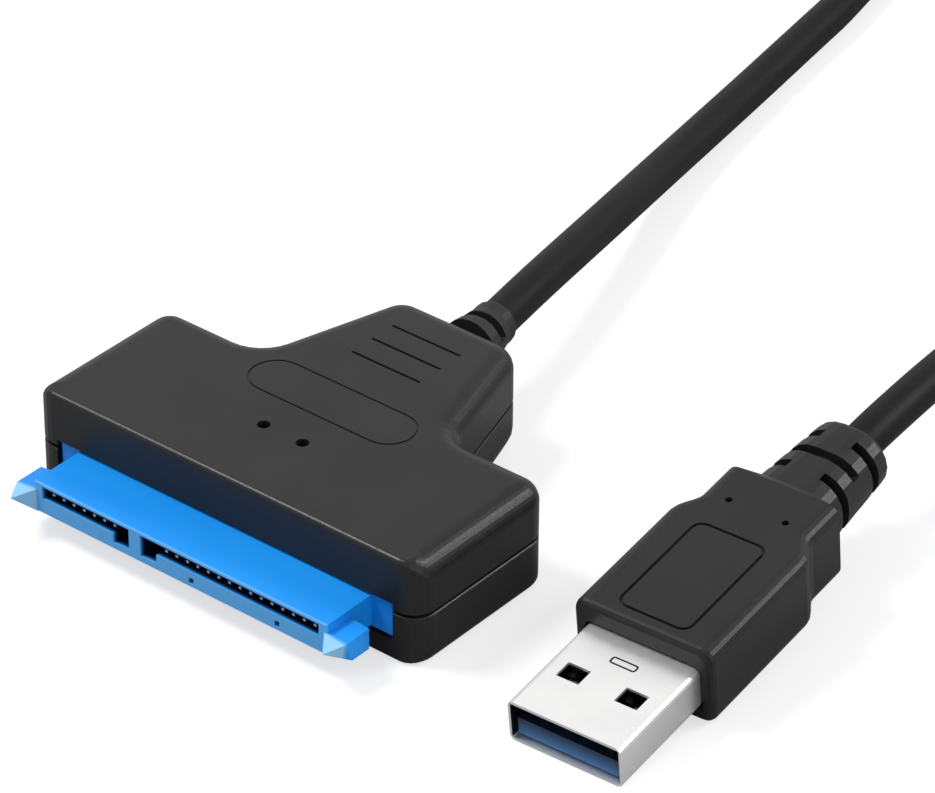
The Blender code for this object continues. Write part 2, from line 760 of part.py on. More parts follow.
def relief_place(distance):
    """A point and a heading on the relief's axis, at a distance behind the neck's wall.

    The axis leaves the wall square, turns towards -X over the bend and then runs straight.
    """
    whole_turn = math.radians(RELIEF_TURN)
    bend = RELIEF_BEND_LENGTH / whole_turn
    turned = whole_turn * min(1.0, max(0.0, distance / RELIEF_BEND_LENGTH))
    straight = max(0.0, distance - RELIEF_BEND_LENGTH) + min(0.0, distance)
    x = bend * (math.cos(turned) - 1) - straight * math.sin(turned)
    y = bend * math.sin(turned) + straight * math.cos(turned)
    return Vector((x, NECK_Y + y, RELIEF_HEIGHT)), turned


def relief_frame(distance):
    """The matrix that stands a flat section square to the relief's axis."""
    point, turned = relief_place(distance)
    return Matrix.Translation(point) @ Matrix.Rotation(turned, 4, "Z")


def upright(frame, outline):
    """An outline in X and Z carried by a frame whose Y is the axis."""
    return [frame @ Vector((x, 0.0, z)) for x, z in outline]


def relief_stations(steps=5):
    """Distance and size of each section, from the anchor inside the neck to the end."""
    inside = -SHELL_WALL - FIT_GAP
    passage = 2 * PASSAGE_RADIUS
    stations = [(inside - ANCHOR_THICKNESS, ANCHOR_WIDTH, ANCHOR_HEIGHT)]
    stations.append((inside, ANCHOR_WIDTH, ANCHOR_HEIGHT))
    stations.append((inside, passage, passage))
    stations.append((FIT_GAP, passage, passage))
    for index in range(steps + 1):
        share = index / steps
        across = 2 * (RELIEF_ROOT_RADIUS + (RELIEF_END_RADIUS - RELIEF_ROOT_RADIUS) * share)
        stations.append((FIT_GAP + (RELIEF_TAPER_LENGTH - FIT_GAP) * share, across, across))
    for depth in reversed(crest_heights(RELIEF_RIM_RADIUS, 3)):
        across = 2 * (RELIEF_END_RADIUS - drawn_in(depth, RELIEF_RIM_RADIUS))
        stations.append((RELIEF_LENGTH - depth, across, across))
    return stations


def add_arc_slot(bm, frame, core, reach, width, middle, span, steps=8):
    """A curved cut round an axis: from a core radius outwards, about a middle angle."""
    first = math.radians(middle - span / 2)
    turns = [first + math.radians(span) * index / steps for index in range(steps + 1)]
    outer = [(reach * math.cos(turn), reach * math.sin(turn)) for turn in turns]
    inner = [(core * math.cos(turn), core * math.sin(turn)) for turn in reversed(turns)]
    loops = []
    for side in (-width / 2, width / 2):
        shifted = frame @ Matrix.Translation((0.0, side, 0.0))
        loops.append(upright(shifted, outer + inner))
    add_loops(bm, loops)


def relief_slots(parent):
    bm = bmesh.new()
    core = RELIEF_END_RADIUS - RELIEF_SLOT_DEPTH
    reach = RELIEF_ROOT_RADIUS + RELIEF_SLOT_DEPTH
    for row in range(2):
        frame = relief_frame(RELIEF_SLOT_FIRST + row * RELIEF_SLOT_PITCH)
        for middle in (90.0, 270.0):
            add_arc_slot(bm, frame, core, reach, RELIEF_SLOT_WIDTH, middle, RELIEF_SLOT_SPAN)
    return solid("relief_slots_tool", bm, None, parent)


def head_strain_relief(parent):
    loops = []
    for distance, width, height in relief_stations():
        outline = section(width, height, PASSAGE_RADIUS + RELIEF_ROOT_RADIUS)
        loops.append(upright(relief_frame(distance), outline))
    relief = lofted("head_strain_relief", loops, black_rubber(), parent)
    combine(relief, relief_slots(parent), "DIFFERENCE")


def tube(name, points, radius, surface, parent, resolution=2):
    """A round wire through a list of points, closed at both ends."""
    curve = bpy.data.curves.new(name, "CURVE")
    curve.dimensions = "3D"
    curve.bevel_depth = radius
    curve.bevel_resolution = resolution
    curve.use_fill_caps = True
    spline = curve.splines.new("POLY")
    spline.points.add(len(points) - 1)
    for entry, point in zip(spline.points, points):
        entry.co = (*point, 1.0)
        entry.radius = 1.0
    return place(bpy.data.objects.new(name, curve), surface, parent)


def eased(share):
    """A share from 0 to 1 that starts and ends level."""
    return share * share * (3 - 2 * share)


def board_wires(parent, steps=6):
    """Four insulated cores from the strain relief down to the end of the board."""
    start = NECK_Y - SHELL_WALL - 2 * FIT_GAP - ANCHOR_THICKNESS
    end = NECK_Y - SHELL_WALL - TONGUE_BACK - WIRE_LANDING
    drop = BOARD_TOP + FIT_GAP + WIRE_RADIUS - RELIEF_HEIGHT
    for index, name in enumerate(("power_wire", "ground_wire", "transmit_wire", "receive_wire")):
        points = []
        for step in range(steps + 1):
            share = step / steps
            pitch = WIRE_PITCH + (WIRE_PAD_PITCH - WIRE_PITCH) * eased(share)
            place_on_way = ((index - 1.5) * pitch, start + (end - start) * share)
            points.append((*place_on_way, RELIEF_HEIGHT + drop * eased(share)))
        tube(name, points, WIRE_RADIUS, black_rubber(), parent)


def smooth_route(route, detail=24):
    """Points close together on a rounded curve through every place on a route."""
    places = [route[0] * 2 - route[1], *route, route[-1] * 2 - route[-2]]
    run = []
    for before, here, there, after in zip(places, places[1:], places[2:], places[3:]):
        for step in range(detail):
            share = step / detail
            leave = (there - before) / 2
            arrive = (after - here) / 2
            point = here * (2 * share**3 - 3 * share**2 + 1)
            point += leave * (share**3 - 2 * share**2 + share)
            point += there * (3 * share**2 - 2 * share**3)
            point += arrive * (share**3 - share**2)
            run.append(point)
    return [*run, route[-1]]


def evenly_spaced(points, spacing):
    """The points of a fine run that lie at even distances along it."""
    lengths = [0.0]
    for near, far in zip(points, points[1:]):
        lengths.append(lengths[-1] + (far - near).length)
    count = max(2, round(lengths[-1] / spacing))
    chosen = []
    index = 0
    for step in range(count):
        target = lengths[-1] * step / count
        while lengths[index + 1] < target:
            index += 1
        share = (target - lengths[index]) / (lengths[index + 1] - lengths[index])
        chosen.append(points[index].lerp(points[index + 1], share))
    return [*chosen, points[-1]]


def cable(parent, plug):
    """The cable from the head's strain relief to the plug's, face to face with both."""
    first, turned = relief_place(RELIEF_LENGTH)
    start = first + Vector((-math.sin(turned), math.cos(turned), 0.0)) * FIT_GAP
    inverse = parent.matrix_world.inverted() @ plug.matrix_world
    last = inverse @ Vector((0.0, BOOT_Y + BOOT_LENGTH + FIT_GAP, PLUG_AXIS_HEIGHT))
    beyond = inverse @ Vector((0.0, BOOT_Y + BOOT_LENGTH + CABLE_DIAMETER, PLUG_AXIS_HEIGHT))
    route = [start, *[Vector(place_on_way) for place_on_way in CABLE_ROUTE], beyond, last]
    points = evenly_spaced(smooth_route(route), CABLE_STEP)
    tube("cable", points, CABLE_DIAMETER / 2, black_rubber(), parent)


def plug_section(width, height, inset):
    """The metal shell's outline in X and Z, above the shell's own underside."""
    outline = rounded_rectangle(width - 2 * inset, height - 2 * inset, PLUG_SHELL_RADIUS - inset, steps=3)
    return [(x, z + height / 2) for x, z in outline]


def shell_windows(parent):
    """Four latch windows, two in the top and two in the underside."""
    bm = bmesh.new()
    wall = PLUG_SHELL_WALL + CUT_PAST
    for side in (-0.5, 0.5):
        low = Vector((side * WINDOW_SPREAD - WINDOW_WIDTH / 2, WINDOW_BACK - WINDOW_LENGTH / 2))
        high = Vector((side * WINDOW_SPREAD + WINDOW_WIDTH / 2, WINDOW_BACK + WINDOW_LENGTH / 2))
        for level in (0.0, PLUG_SHELL_HEIGHT):
            add_box(bm, (low.x, low.y, level - wall), (high.x, high.y, level + wall))
    return solid("shell_windows_tool", bm, None, parent)


def shell_lance(parent):
    """The outline of the small pressed tab in the shell's top, as a shallow groove."""
    middle = (0.0, LANCE_BACK)
    outer = rounded_rectangle(LANCE_WIDTH, LANCE_LENGTH, LANCE_RADIUS, middle, 3)
    size = (LANCE_WIDTH - 2 * LANCE_GROOVE_WIDTH, LANCE_LENGTH - 2 * LANCE_GROOVE_WIDTH)
    inner = rounded_rectangle(*size, LANCE_RADIUS - LANCE_GROOVE_WIDTH, middle, 3)
    bm = bmesh.new()
    floor = PLUG_SHELL_HEIGHT - LANCE_GROOVE_DEPTH
    add_ring_prism(bm, outer, inner, floor, PLUG_SHELL_HEIGHT + LANCE_GROOVE_DEPTH)
    return solid("shell_lance_tool", bm, None, parent)


def usb_shell(parent):
    """A thin rectangular tube that is open at the tip and ends inside the grip."""
    back = PLUG_SHELL_SHOWN + PLUG_SHELL_SUNK
    outer = plug_section(PLUG_SHELL_WIDTH, PLUG_SHELL_HEIGHT, 0.0)
    inner = plug_section(PLUG_SHELL_WIDTH, PLUG_SHELL_HEIGHT, PLUG_SHELL_WALL)
    bm = bmesh.new()
    add_ring_prism(bm, outer, inner, 0.0, back)
    bm.transform(Matrix(((1, 0, 0, 0), (0, 0, 1, 0), (0, 1, 0, 0), (0, 0, 0, 1))))
    shell = solid("usb_shell", bm, nickel_plate(), parent)
    combine(shell, shell_windows(parent), "DIFFERENCE")
    combine(shell, shell_lance(parent), "DIFFERENCE")
    return shell


def tongue_half_width():
    return PLUG_SHELL_WIDTH / 2 - PLUG_SHELL_WALL - FIT_GAP


def usb_insulator(parent):
    """The blue core: a block at the back and a flat tongue along the underside."""
    low = PLUG_SHELL_WALL + FIT_GAP
    tongue_top = low + TONGUE_PLATE_HEIGHT
    high = PLUG_SHELL_HEIGHT - PLUG_SHELL_WALL - FIT_GAP
    back = PLUG_SHELL_SHOWN + PLUG_SHELL_SUNK
    profile = [(TONGUE_SETBACK, low), (back, low), (back, high), (CORE_BACK, high)]
    profile += [(CORE_BACK, tongue_top), (TONGUE_SETBACK, tongue_top)]
    reach = tongue_half_width()
    loops = [[(x, y, z) for y, z in profile] for x in (-reach, reach)]
    lofted("usb_insulator", loops, dark_blue_plastic(), parent)


def usb_pins(parent):
    """Four long contacts on the tongue and five short ones behind them."""
    base = PLUG_SHELL_WALL + 2 * FIT_GAP + TONGUE_PLATE_HEIGHT
    top = base + PIN_HEIGHT
    end = PIN_SETBACK + PIN_LENGTH
    for index, x in enumerate((-PIN_FAR, -PIN_NEAR, PIN_NEAR, PIN_FAR)):
        low = (x - PIN_WIDTH / 2, PIN_SETBACK, base)
        high = (x + PIN_WIDTH / 2, end, top)
        box(f"usb_contact_{index + 1}", low, high, gold_plate(), parent)
    for index in range(REAR_PIN_COUNT):
        x = (index - (REAR_PIN_COUNT - 1) / 2) * REAR_PIN_PITCH
        low = (x - REAR_PIN_WIDTH / 2, end + FIT_GAP, base)
        high = (x + REAR_PIN_WIDTH / 2, end + FIT_GAP + REAR_PIN_LENGTH, top + PIN_HEIGHT)
        box(f"usb_fast_contact_{index + 1}", low, high, gold_plate(), parent)


def grip_stations(steps=5):
    """Distance from the tip, width, height and edge radius along the grip and its boot."""
    stations = []
    for depth in crest_heights(GRIP_FRONT_RADIUS, 3):
        trim = 2 * drawn_in(depth, GRIP_FRONT_RADIUS)
        stations.append((GRIP_Y + depth, GRIP_WIDTH - trim, GRIP_HEIGHT - trim, GRIP_EDGE_RADIUS))
    stations.sort()
    for index in range(steps + 1):
        share = index / steps
        width = GRIP_WIDTH - 2 * GRIP_STEP_IN * eased(share)
        y = GRIP_Y + GRIP_FRONT_LENGTH + share * GRIP_STEP_LENGTH
        stations.append((y, width, GRIP_HEIGHT, GRIP_EDGE_RADIUS))
    rear_width = GRIP_WIDTH - 2 * GRIP_STEP_IN
    stations.append((BOOT_Y - BOOT_SHOULDER, rear_width, GRIP_HEIGHT, GRIP_EDGE_RADIUS))
    stations.append((BOOT_Y, BOOT_WIDTH, BOOT_HEIGHT, BOOT_ROOT_RADIUS))
    for depth in reversed(crest_heights(GRIP_FRONT_RADIUS, 3)):
        trim = 2 * drawn_in(depth, GRIP_FRONT_RADIUS)
        y = BOOT_Y + BOOT_LENGTH - depth
        stations.append((y, BOOT_END_WIDTH - trim, BOOT_END_HEIGHT - trim, BOOT_END_HEIGHT / 2))
    return stations


def shell_pocket(parent):
    """The pocket in the grip's front that holds the end of the metal shell."""
    outline = rounded_rectangle(
        PLUG_SHELL_WIDTH + 2 * FIT_GAP,
        PLUG_SHELL_HEIGHT + 2 * FIT_GAP,
        PLUG_SHELL_RADIUS + FIT_GAP,
        (0.0, PLUG_SHELL_HEIGHT / 2),
        steps=3,
    )
    ends = (GRIP_Y - PLUG_SHELL_SUNK, GRIP_Y + PLUG_SHELL_SUNK + FIT_GAP)
    loops = [[(x, y, z) for x, z in outline] for y in ends]
    return lofted("shell_pocket_tool", loops, None, parent)


def grip_marks(parent):
    """The panel's groove and the two dimples in the grip's top."""
    bm = bmesh.new()
    top = GRIP_HEIGHT - GRIP_DROP
    middle = (0.0, GRIP_Y + PANEL_BACK + PANEL_LENGTH / 2)
    outer = rounded_rectangle(PANEL_WIDTH, PANEL_LENGTH, PANEL_RADIUS, middle, 4)
    band = 2 * MARK_WIDTH
    inner = rounded_rectangle(PANEL_WIDTH - band, PANEL_LENGTH - band, PANEL_RADIUS - MARK_WIDTH, middle, 4)
    add_ring_prism(bm, outer, inner, top - MARK_DEPTH, top + MARK_DEPTH)
    for side in (-0.5, 0.5):
        ring = circle((side * DIMPLE_SPREAD, GRIP_Y + DIMPLE_BACK), DIMPLE_RADIUS, 12)
        add_prism(bm, ring, top - 2 * DIMPLE_RADIUS, top + DIMPLE_RADIUS)
    return solid("grip_marks_tool", bm, None, parent)


def boot_slots(parent):
    """Three rows of curved slots, turned a quarter from one row to the next."""
    bm = bmesh.new()
    reach = BOOT_WIDTH
    for row in range(3):
        y = BOOT_Y + BOOT_SLOT_FIRST + row * BOOT_SLOT_PITCH
        frame = Matrix.Translation((0.0, y, PLUG_AXIS_HEIGHT))
        first = 90.0 if row % 2 else 0.0
        for middle in (first, first + 180.0):
            add_arc_slot(bm, frame, BOOT_SLOT_CORE, reach, BOOT_SLOT_WIDTH, middle, BOOT_SLOT_SPAN)
    return solid("boot_slots_tool", bm, None, parent)


def usb_plug_grip(parent):
    loops = []
    for y, width, height, radius in grip_stations():
        loops.append([(x, y, z + PLUG_AXIS_HEIGHT) for x, z in section(width, height, radius)])
    grip = lofted("usb_plug_grip", loops, charcoal_plastic(), parent)
    combine(grip, shell_pocket(parent), "DIFFERENCE")
    combine(grip, grip_marks(parent), "DIFFERENCE")
    combine(grip, boot_slots(parent), "DIFFERENCE")
    return grip


def usb_plug(parent):
    """The plug, nose down on its grip's front edge, with its tail held up by the cable."""
    empty = bpy.data.objects.new("plug_frame", None)
    place(empty, None, parent)
    turn = Matrix.Rotation(math.radians(PLUG_HEADING), 4, "Z")
    tilt = Matrix.Rotation(math.radians(PLUG_PITCH), 4, "X")
    empty.rotation_euler = (turn @ tilt).to_euler()
    resting = (usb_plug_grip(empty), usb_shell(empty))
    usb_insulator(empty)
    usb_pins(empty)
    lowest = min((tilt @ vertex.co).z for piece in resting for vertex in piece.data.vertices)
    empty.location = (PLUG_TIP_X, PLUG_TIP_Y, -lowest)
    return empty


def head_frame():
    """The head's empty, set so that the scene's origin is under the head's middle."""
    end, turned = relief_place(RELIEF_LENGTH)
    back = end.y + (RELIEF_END_RADIUS - RELIEF_RIM_RADIUS) * math.sin(turned)
    empty = bpy.data.objects.new("head_frame", None)
    empty.location = (0.0, (WING_TIP_REACH - back) / 2, 0.0)
    return place(empty, None, None)


def adapter():
    remove_everything()
    head = head_frame()
    sata_receptacle(head)
    contacts(head)
    housing(head)
    circuit_board(head)
    board_parts(head)
    lights(head)
    board_wires(head)
    head_strain_relief(head)
    plug = usb_plug(head)
    bpy.context.view_layer.update()
    cable(head, plug)


adapter()
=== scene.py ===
"""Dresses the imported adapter: camera, lead, materials, floor and studio light."""

import math

import bpy
from mathutils import Matrix, Vector


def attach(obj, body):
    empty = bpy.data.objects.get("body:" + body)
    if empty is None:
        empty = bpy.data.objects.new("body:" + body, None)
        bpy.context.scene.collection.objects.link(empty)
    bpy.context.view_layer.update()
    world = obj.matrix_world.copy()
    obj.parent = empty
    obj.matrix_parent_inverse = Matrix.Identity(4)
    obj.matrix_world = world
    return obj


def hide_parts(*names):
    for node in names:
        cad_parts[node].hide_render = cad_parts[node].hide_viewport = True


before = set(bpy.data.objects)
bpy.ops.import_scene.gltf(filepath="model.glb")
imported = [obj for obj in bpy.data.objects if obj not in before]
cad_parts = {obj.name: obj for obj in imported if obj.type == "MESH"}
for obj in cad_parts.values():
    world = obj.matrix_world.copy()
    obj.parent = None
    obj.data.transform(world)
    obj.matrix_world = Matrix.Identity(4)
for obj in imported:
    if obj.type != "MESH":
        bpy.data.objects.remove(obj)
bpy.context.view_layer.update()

# Camera: focal length and picture in pixels, then where the receptacle's front middle shows
PICTURE_WIDTH = 935
PICTURE_HEIGHT = 793
FOCAL_PIXELS = 5000.0
CAMERA_AZIMUTH = 39.11
CAMERA_ELEVATION = 33.35
CAMERA_ROLL = 0.44
CAMERA_DISTANCE = 0.4527
FRONT_SHOWS_AT = (178.24, 581.27)
SENSOR_MM = 36.0
CLIP_START = 0.01
CLIP_END = 20.0

# The receptacle's front: its place along Y and the height of its underside
HEAD_Y = -0.0225927
RECEPTACLE_LIFT = 0.0026

# The lead, with its route measured from the floor below the receptacle's front middle
LEAD_DIAMETER = 0.0040
LEAD_GAP = 0.0003
LEAD_STEP = 0.002
LEAD_ROUNDNESS = 6
ROUTE_DETAIL = 24
LEAD_ROUTE = (
    (-0.0010757, 0.0471068, 0.0072),
    (-0.0029, 0.0560, 0.0068),
    (-0.00676, 0.0720, 0.0050),
    (-0.0105, 0.0865, 0.0031),
    (-0.0141, 0.1050, 0.0021),
    (-0.0171, 0.1240, 0.0021),
    (-0.0194, 0.1395, 0.0021),
    (-0.0152, 0.1568, 0.0021),
    (0.0000, 0.1659, 0.0021),
    (0.0173, 0.1617, 0.0021),
    (0.0264, 0.1465, 0.0021),
    (0.0286, 0.1290, 0.0021),
    (0.0308, 0.1120, 0.0024),
    (0.0335, 0.0940, 0.0043),
    (0.0362, 0.0775, 0.0069),
    (0.0381, 0.0640, 0.0086),
    (0.0391141, 0.0533420, 0.0087388),
    (0.0393063, 0.0496746, 0.0082879),
)

# The plug's tip in the scene and its turn about X, Y and Z
PLUG_TIP = (0.0417, -0.0185927, 0.0000525)
PLUG_TURN = (math.radians(7.0), 0.0, math.radians(3.0))

# Along the plug's own axes: the inside of its shell and the tab's groove, where shade is painted, and the
# core's painted shading
SHELL_INSIDE_X = 0.00575
SHELL_INSIDE_Z = (0.00045, 0.00422)
SHELL_EDGE = 0.00001
SHELL_INSIDE_SHADE_GREY = (0.02, 0.02, 0.022)
LANCE_X = 0.00150
LANCE_Y = (0.0086, 0.0098)
LANCE_Z = (0.00424, 0.00446)
LANCE_GROOVE_SHADE_GREY = (0.05, 0.05, 0.055)
CORE_LIT_TO = 0.0010
CORE_DARK_FROM = 0.0024
CORE_DARK_BLUE = (0.002, 0.012, 0.040)

# Slots of the receptacle: half their whole width, their heights and where painted shade darkens them along
# Y
SLOT_INSIDE_X = 0.01688
SLOT_INSIDE_Z = (0.00300, 0.00566)
SLOT_DARK_FROM = 0.00010
SLOT_DARK_SOFT = 0.00040
SLOT_DARK_TO = 0.0
SLOT_EDGE = 0.00004
SLOT_PAINTED_SHADE_BLUE = (0.002, 0.009, 0.036)

# Paler faces at the front of the blue moulding, painted light as if lit from the front: its nose, and the
# wing tips that reach beyond it
FRONT_FACE_SOFT = 0.00012
FRONT_FACE_PAINTED_LIGHT_BLUE = (0.095, 0.400, 0.84)
BEFORE_WINGS = -0.03
WING_TIP_PAINTED_LIGHT_BLUE = (0.26, 0.56, 0.86)

# Studio: the floor, the world's levels and three soft lamps with their places, sizes and watts
FLOOR_SIZE = 8.0
FLOOR_COLOR = 0.40
FLOOR_LIFT = 0.66
WORLD_SEEN = 1.0
WORLD_MIRRORED = 0.86
WORLD_LIGHT = 0.50
LOOK_AT = Vector((0.012, 0.0, 0.005))
LAMPS = (
    ("key_lamp", (-0.24, -0.13, 0.43), 0.17, 1.8),
    ("rim_lamp", (0.34, 0.40, 0.33), 0.28, 1.6),
    ("side_lamp", (0.50, -0.10, 0.16), 0.30, 0.45),
)

# Sockets of a mix node that mixes colours, and of one that mixes numbers
COLOR_A, COLOR_B, COLOR_RESULT = 6, 7, 2
NUMBER_A, NUMBER_B, NUMBER_RESULT = 2, 3, 0

# The span of a noise's values that is stretched over a whole range
NOISE_LOW = 0.3
NOISE_HIGH = 0.7


def linked(name, data):
    """A new object in the scene."""
    made = bpy.data.objects.new(name, data)
    bpy.context.scene.collection.objects.link(made)
    return made


def make_camera():
    """The camera stands at the photograph's angle, and the picture is the photograph's frame."""
    azimuth = math.radians(CAMERA_AZIMUTH)
    elevation = math.radians(CAMERA_ELEVATION)
    roll = math.radians(CAMERA_ROLL)
    flat = math.cos(elevation)
    back = Vector((math.sin(azimuth) * flat, -math.cos(azimuth) * flat, math.sin(elevation)))
    right = Vector((math.cos(azimuth), math.sin(azimuth), 0.0))
    up = back.cross(right)
    turn = Matrix((
        math.cos(roll) * right + math.sin(roll) * up,
        math.cos(roll) * up - math.sin(roll) * right,
        back,
    ))
    across = (FRONT_SHOWS_AT[0] - PICTURE_WIDTH / 2) * CAMERA_DISTANCE / FOCAL_PIXELS
    down = (FRONT_SHOWS_AT[1] - PICTURE_HEIGHT / 2) * CAMERA_DISTANCE / FOCAL_PIXELS
    front = Vector((0.0, HEAD_Y, RECEPTACLE_LIFT))
    eye = front - turn.transposed() @ Vector((across, -down, -CAMERA_DISTANCE))
    data = bpy.data.cameras.new("camera")
    data.sensor_width = SENSOR_MM
    data.lens = SENSOR_MM * FOCAL_PIXELS / PICTURE_WIDTH
    data.clip_start = CLIP_START
    data.clip_end = CLIP_END
    camera = linked("camera", data)
    camera.matrix_world = Matrix.Translation(eye) @ turn.transposed().to_4x4()
    bpy.context.scene.camera = camera


def smooth_route(route):
    """Points close together on a rounded curve through every place on a route."""
    places = [route[0] * 2 - route[1], *route, route[-1] * 2 - route[-2]]
    run = []
    for before, here, there, after in zip(places, places[1:], places[2:], places[3:]):
        for step in range(ROUTE_DETAIL):
            share = step / ROUTE_DETAIL
            point = here * (2 * share**3 - 3 * share**2 + 1)
            point += (there - before) / 2 * (share**3 - 2 * share**2 + share)
            point += there * (3 * share**2 - 2 * share**3)
            point += (after - here) / 2 * (share**3 - share**2)
            run.append(point)
    return [*run, route[-1]]


def evenly_spaced(points, spacing):
    """The points of a fine run that lie at even distances along it."""
    lengths = [0.0]
    for near, far in zip(points, points[1:]):
        lengths.append(lengths[-1] + (far - near).length)
    count = round(lengths[-1] / spacing)
    chosen = []
    index = 0
    for step in range(count):
        target = lengths[-1] * step / count
        while lengths[index + 1] < target:
            index += 1
        share = (target - lengths[index]) / (lengths[index + 1] - lengths[index])
        chosen.append(points[index].lerp(points[index + 1], share))
    return [*chosen, points[-1]]


def lead_curve(points):
    """A round jacket along a run of points."""
    curve = bpy.data.curves.new("lead_jacket", "CURVE")
    curve.dimensions = "3D"
    curve.bevel_depth = LEAD_DIAMETER / 2
    curve.bevel_resolution = LEAD_ROUNDNESS
    curve.use_fill_caps = True
    spline = curve.splines.new("POLY")
    spline.points.add(len(points) - 1)
    for entry, point in zip(spline.points, points):
        entry.co = (*point, 1.0)
    return curve


def make_lead():
    """The round jacket between the two strain reliefs, as one smooth curve."""
    places = [Vector((x, y + HEAD_Y, z)) for x, y, z in LEAD_ROUTE]
    leaving = (places[1] - places[0]).normalized()
    arriving = (places[-1] - places[-2]).normalized()
    exit_place = places[0].copy()
    places[0] = places[0] - leaving * LEAD_GAP
    places[-1] = places[-1] + arriving * LEAD_GAP
    points = evenly_spaced(smooth_route(places), LEAD_STEP)
    curve = lead_curve(points)
    curve.materials.append(jacket_rubber())
    lead = linked("lead_jacket", curve)
    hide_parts("cable")
    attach(lead, "root")


class Sheet:
    """A material's nodes, made one after another."""

    def __init__(self, name):
        self.material = bpy.data.materials.new(name)
        self.material.use_nodes = True
        self.tree = self.material.node_tree
        self.surface = self.tree.nodes["Principled BSDF"]
        self.place = self.node("ShaderNodeTexCoord").outputs["Object"]

    def node(self, kind, **settings):
        """A new node with some of its settings."""
        made = self.tree.nodes.new(kind)
        for key, value in settings.items():
            setattr(made, key, value)
        return made

    def join(self, source, target):
        self.tree.links.new(source, target)

    def stretched(self, scale):
        """Object coordinates squeezed or stretched along the axes."""
        mapping = self.node("ShaderNodeMapping")
        mapping.inputs["Scale"].default_value = scale
        self.join(self.place, mapping.inputs["Vector"])
        return mapping.outputs["Vector"]

    def plug_place(self):
        """Coordinates along the plug's own axes, with the tip at zero."""
        mapping = self.node("ShaderNodeMapping", vector_type="TEXTURE")
        mapping.inputs["Location"].default_value = PLUG_TIP
        mapping.inputs["Rotation"].default_value = PLUG_TURN
        self.join(self.place, mapping.inputs["Vector"])
        return mapping.outputs["Vector"]

    def noise(self, size, detail=2.0, rough=0.5, vector=None):
        """A noise whose lumps are about as wide as a size in metres."""
        noise = self.node("ShaderNodeTexNoise")
        noise.inputs["Scale"].default_value = 1.0 / size
        noise.inputs["Detail"].default_value = detail
        noise.inputs["Roughness"].default_value = rough
        self.join(vector or self.place, noise.inputs["Vector"])
        return noise.outputs["Fac"]

    def spread(self, source, low, high, start=NOISE_LOW, stop=NOISE_HIGH):
        """A value carried from the span between start and stop to the one between low and high."""
        fit = self.node("ShaderNodeMapRange")
        fit.inputs["From Min"].default_value = start
        fit.inputs["From Max"].default_value = stop
        fit.inputs["To Min"].default_value = low
        fit.inputs["To Max"].default_value = high
        self.join(source, fit.inputs["Value"])
        return fit.outputs["Result"]

    def along(self, vector, axis):
        """One coordinate of a vector."""
        apart = self.node("ShaderNodeSeparateXYZ")
        self.join(vector, apart.inputs["Vector"])
        return apart.outputs[axis]

    def within(self, vector, axis, low, high, soft):
        """One where a coordinate lies between two values, with soft ends."""
        coordinate = self.along(vector, axis)
        rising = self.spread(coordinate, 0.0, 1.0, low, low + soft)
        falling = self.spread(coordinate, 1.0, 0.0, high - soft, high)
        return self.product(rising, falling)

    def product(self, first, second):
        times = self.node("ShaderNodeMath", operation="MULTIPLY")
        self.join(first, times.inputs[0])
        self.join(second, times.inputs[1])
        return times.outputs["Value"]

    def mottled(self, source, dark, light):
        """Two colours mixed by a noise."""
        mix = self.node("ShaderNodeMix", data_type="RGBA")
        self.join(self.spread(source, 0.0, 1.0), mix.inputs["Factor"])
        mix.inputs[COLOR_A].default_value = (*dark, 1.0)
        mix.inputs[COLOR_B].default_value = (*light, 1.0)
        return mix.outputs[COLOR_RESULT]

    def toward(self, share, source, target):
        """A colour output carried towards a fixed colour."""
        mix = self.node("ShaderNodeMix", data_type="RGBA")
        self.join(share, mix.inputs["Factor"])
        self.join(source, mix.inputs[COLOR_A])
        mix.inputs[COLOR_B].default_value = (*target, 1.0)
        return mix.outputs[COLOR_RESULT]

    def color(self, source):
        self.join(source, self.surface.inputs["Base Color"])

    def roughness(self, source, low, high):
        """Roughness that follows a noise between two values."""
        self.join(self.spread(source, low, high), self.surface.inputs["Roughness"])

    def bump(self, source, height, strength):
        """Relief as high as a noise says, in metres."""
        bump = self.node("ShaderNodeBump")
        bump.inputs["Strength"].default_value = strength
        bump.inputs["Distance"].default_value = height
        self.join(source, bump.inputs["Height"])
        self.join(bump.outputs["Normal"], self.surface.inputs["Normal"])

    def constant(self, **values):
        """Values that are the same all over the surface."""
        for key, value in values.items():
            self.surface.inputs[key.replace("_", " ")].default_value = value


def grained_plastic():
    """Charcoal plastic from a spark-eroded mould: fine even grain, slightly patchy colour."""
    sheet = Sheet("grained_plastic")
    patches = sheet.noise(size=0.009, detail=3.0)
    grain = sheet.noise(size=0.00022, detail=3.0, rough=0.6)
    sheet.color(sheet.mottled(patches, dark=(0.013, 0.013, 0.0132), light=(0.017, 0.017, 0.0172)))
    sheet.roughness(grain, low=0.28, high=0.39)
    sheet.bump(grain, height=0.000018, strength=0.6)
    sheet.constant(Specular_IOR_Level=0.23)
    return sheet.material


def jacket_rubber():
    """The lead's satin vinyl jacket, faintly patchy, with a very fine grain."""
    sheet = Sheet("jacket_rubber")
    patches = sheet.noise(size=0.006, detail=3.0)
    fine = sheet.noise(size=0.00018)
    sheet.color(sheet.mottled(patches, dark=(0.005, 0.005, 0.0051), light=(0.007, 0.007, 0.0071)))
    sheet.roughness(patches, low=0.42, high=0.52)
    sheet.bump(fine, height=0.000006, strength=0.5)
    sheet.constant(Specular_IOR_Level=0.12)
    return sheet.material


def boot_rubber():
    """The softer moulded strain relief, a little greyer than the jacket."""
    sheet = Sheet("boot_rubber")
    patches = sheet.noise(size=0.004, detail=3.0)
    grain = sheet.noise(size=0.0002, rough=0.6)
    sheet.color(sheet.mottled(patches, dark=(0.012, 0.012, 0.0125), light=(0.017, 0.017, 0.0175)))
    sheet.roughness(grain, low=0.46, high=0.60)
    sheet.bump(grain, height=0.00001, strength=0.5)
    sheet.constant(Specular_IOR_Level=0.25)
    return sheet.material


